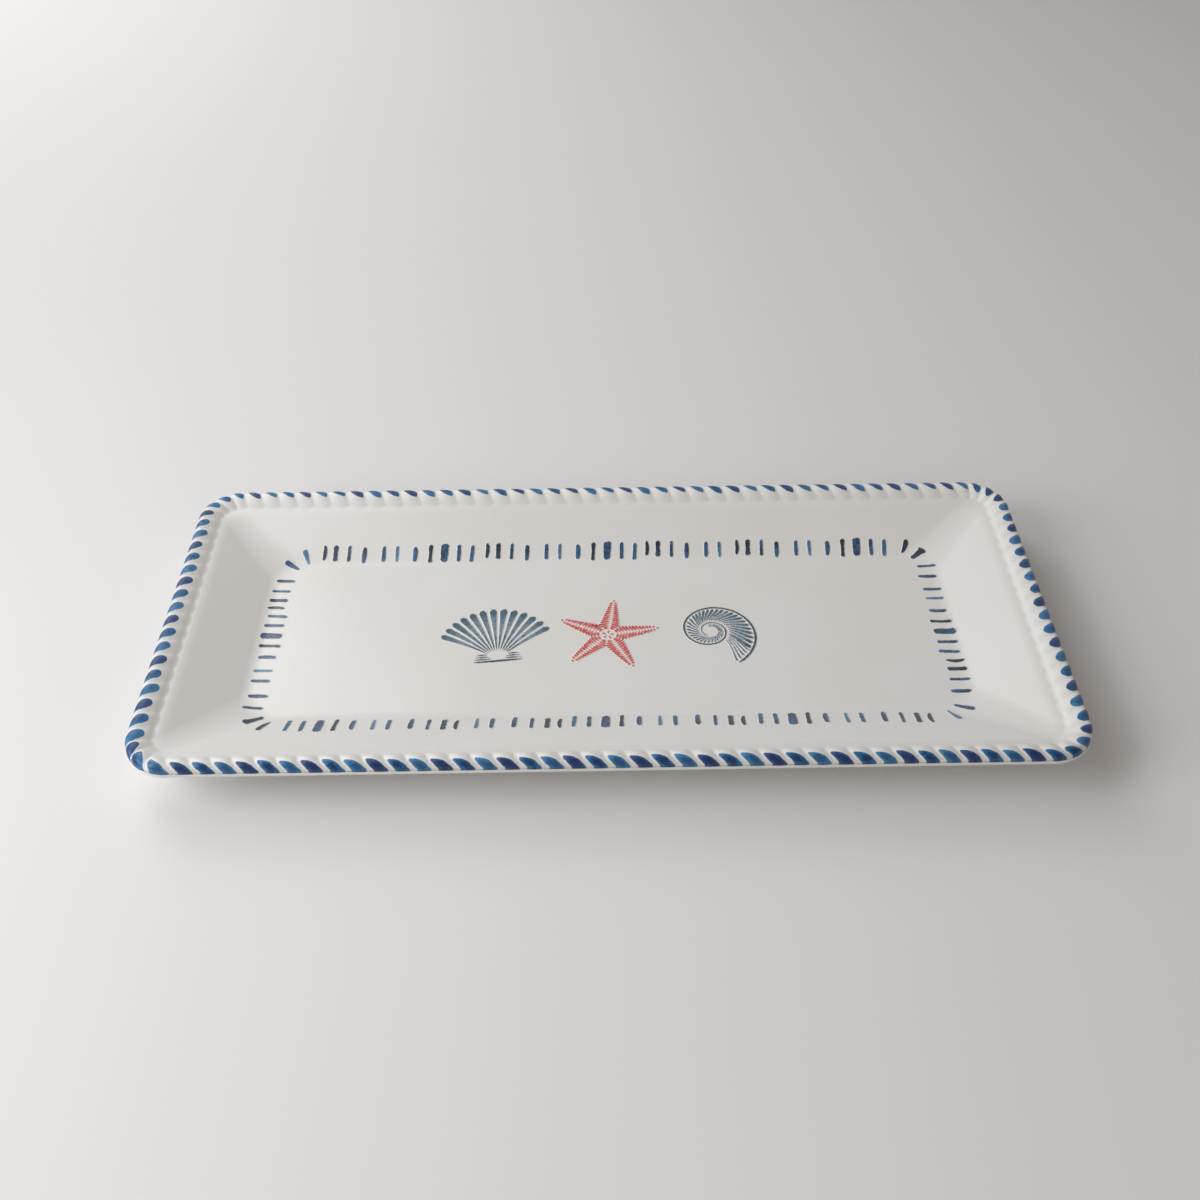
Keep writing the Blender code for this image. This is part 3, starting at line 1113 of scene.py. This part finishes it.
def rope_glaze():
    """White glaze with blue brush strokes, dark, mid and light in turn from strand to strand."""
    nodes = material_nodes("painted_glaze")
    place = nodes.position()
    along, turn = nodes.uv("paint")
    strand = nodes.math("FLOOR", along)
    uneven = nodes.ramp(nodes.chance(strand), 0.0, 1.0, *REACH_SPREAD, smooth=False)
    rise = nodes.math("DIVIDE", turn, nodes.multiply(nodes.attribute("reach"), uneven))
    lean = nodes.multiply(nodes.attribute("slant"), nodes.subtract(1.0, rise))
    across = nodes.subtract(nodes.math("FRACT", along), lean)
    ply = ply_number(nodes, strand)
    deep, pale = ply_colour(nodes, ply, ROPE_DEEP), ply_colour(nodes, ply, ROPE_PALE)
    colour = nodes.mix(stroke_wash(nodes, across, rise, place), deep, pale)
    mask = stroke_mask(nodes, across, rise, place)
    nodes.set("Base Color", nodes.mix(mask, glaze_white(nodes, place), colour))
    nodes.set("Specular IOR Level", PAINT_SPECULAR)
    glaze_gloss(nodes, place, PAINT_ROUGHNESS)
    return nodes.owner


def ink_glaze(name, blues, reds):
    """White glaze where soft-edged strokes of fired colour lie, blue or red."""
    nodes = material_nodes(name)
    place = nodes.position()
    tatter = nodes.noise(place, scale=1100)
    ragged = nodes.ramp(tatter, 0.25, 0.75, -INK_RAGGED, INK_RAGGED, smooth=False)
    mask = nodes.ramp(nodes.add(nodes.attribute("edge"), ragged), -INK_EDGE, INK_EDGE)
    blot = nodes.noise(place, scale=520, detail=3.0)
    cloud = nodes.ramp(blot, 0.3, 0.7, -0.16, 0.16, smooth=False)
    dark = nodes.add(nodes.attribute("dark"), cloud)
    colour = nodes.mix(nodes.attribute("red"), nodes.tones(dark, blues), nodes.tones(dark, reds))
    nodes.set("Base Color", nodes.mix(mask, glaze_white(nodes, place), colour))
    glaze_gloss(nodes, place, GLAZE_ROUGHNESS)
    return nodes.owner


def bare_clay():
    nodes = material_nodes("bare_clay")
    grain = nodes.noise(nodes.position(), scale=900, detail=4.0)
    dark = tuple(c * DARK_CLAY for c in CLAY)
    nodes.set("Base Color", nodes.mix(nodes.ramp(grain, 0.35, 0.65), dark, CLAY))
    nodes.set("Roughness", nodes.ramp(grain, 0.3, 0.7, *CLAY_ROUGHNESS))
    nodes.bump(grain, strength=0.4, distance=0.15 * MM)
    return nodes.owner


def studio_floor():
    nodes = material_nodes("studio_floor")
    dark = tuple(c * DARK_FLOOR for c in FLOOR_WHITE)
    cloud = nodes.noise(nodes.position(), scale=9)
    nodes.set("Base Color", nodes.mix(cloud, dark, FLOOR_WHITE))
    nodes.set("Roughness", FLOOR_ROUGHNESS)
    return nodes.owner


# Stage


def make_floor():
    shape = bmesh.new()
    bmesh.ops.create_grid(shape, x_segments=TABLE_CELLS, y_segments=TABLE_CELLS, size=TABLE_HALF)
    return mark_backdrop(new_object("floor", shape, studio_floor()))


def make_lamp(name, place, target, size, power, colour):
    lamp = bpy.data.lights.new(name, "AREA")
    lamp.shape = "RECTANGLE"
    lamp.size, lamp.size_y = size
    lamp.energy = power
    lamp.color = colour
    obj = bpy.data.objects.new(name, lamp)
    obj.location = place
    way = Vector(target) - obj.location
    obj.rotation_euler = way.to_track_quat("-Z", "Y").to_euler()
    bpy.context.scene.collection.objects.link(obj)


def make_world():
    """Dim room light. Where it is seen or reflected, a backdrop that is white behind the
    platter and darker towards the front."""
    world = bpy.data.worlds.new("soft_room")
    nodes = Nodes(world, "Background")
    nodes.set("Color", WARM_LIGHT)
    nodes.set("Strength", ROOM_LIGHT)
    towards_back = nodes.split(nodes.node("TexCoord").outputs["Generated"])["Y"]
    strength = nodes.ramp(towards_back, *BACKDROP_FADE, FRONT_BACKDROP, smooth=False)
    backdrop = nodes.node("Background", Color=BACKDROP_WHITE, Strength=strength)
    rays = nodes.node("LightPath").outputs
    seen = nodes.math("MAXIMUM", rays["Is Camera Ray"], rays["Is Glossy Ray"])
    mix = nodes.node("MixShader")
    for socket, output in zip(mix.inputs, (seen, nodes.shader.outputs[0], backdrop.outputs[0])):
        nodes.put(socket, output)
    nodes.put(nodes.tree.nodes["World Output"].inputs["Surface"], mix.outputs[0])
    bpy.context.scene.world = world


def make_light():
    make_world()
    for lamp in LAMPS:
        make_lamp(*lamp)


def make_camera():
    ahead_x, ahead_y = math.sin(YAW) * math.cos(PITCH), math.cos(YAW) * math.cos(PITCH)
    forward = Vector((ahead_x, ahead_y, -math.sin(PITCH)))
    level = Vector((math.cos(YAW), -math.sin(YAW), 0))
    upright = level.cross(forward)
    right = math.cos(ROLL) * level + math.sin(ROLL) * upright
    up = -math.sin(ROLL) * level + math.cos(ROLL) * upright
    camera = bpy.data.cameras.new("camera")
    camera.sensor_width = SENSOR
    camera.lens = FOCAL_PIXELS / FRAME_PIXELS * SENSOR
    obj = bpy.data.objects.new("camera", camera)
    turn = Matrix((right, up, -forward)).transposed().to_4x4()
    obj.matrix_world = Matrix.Translation(EYE) @ turn
    bpy.context.scene.collection.objects.link(obj)
    bpy.context.scene.camera = obj


# All together


def dress_platter():
    dish = make_dish(dish_glaze())
    rope = make_rope(rope_glaze())
    foot = make_foot(bare_clay())
    stand_ins = (
        (dish, "platter_body", "white_glaze"),
        (rope, "rope_rim", "painted_glaze"),
        (foot, "foot_ring", "bare_clay"),
    )
    for piece, node, slot in stand_ins:
        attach(piece, "root")
        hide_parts(node)
    dashes = make_dashes(dish, ink_glaze("dash_glaze", INK_BLUES, PRINT_REDS))
    motifs = make_print(dish, ink_glaze("print_glaze", PRINT_BLUES, PRINT_REDS))
    for piece in (dashes, motifs):
        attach(piece, "root")


bpy.context.scene.view_settings.view_transform = "Standard"
make_floor()
make_light()
make_camera()
dress_platter()
